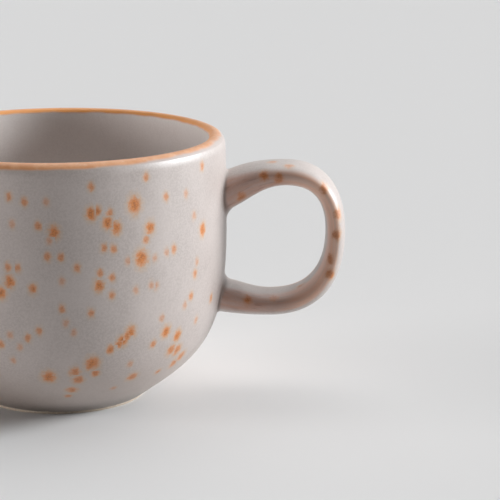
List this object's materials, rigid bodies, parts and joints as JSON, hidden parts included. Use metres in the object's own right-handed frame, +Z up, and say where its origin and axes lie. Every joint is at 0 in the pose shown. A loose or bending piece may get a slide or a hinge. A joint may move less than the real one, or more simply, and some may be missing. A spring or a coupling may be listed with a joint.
{
  "type": "espresso cup",
  "caption": "Small round-bellied stoneware espresso cup with a loop handle, a satin grey speckled glaze and a rust band along the lip; holds hot coffee.",
  "frame": {"origin": "centre of the foot, on the table that the cup stands on", "axes": "+Z up out of the cup's mouth, +X out along the handle, +Y to the left of the handle seen from above with the handle pointing away"},
  "size_m": [0.0881, 0.065, 0.0515],
  "materials": {
    "clay": "matt bisque",
    "slip": "matt bisque",
    "grey_glaze": "satin, with rust specks",
    "brown_glaze": "satin, thin over the handle, with rust specks",
    "liner_glaze": "satin",
    "rust_glaze": "satin"
  },
  "bodies": {
    "root": {"cup_body": "clay", "handle": "clay", "upper_slip_joint": "slip", "lower_slip_joint": "slip", "outer_glaze": "grey_glaze", "handle_glaze": "brown_glaze", "inner_glaze": "liner_glaze", "rim_band": "rust_glaze", "base_glaze": "liner_glaze"}
  },
  "joints": []
}
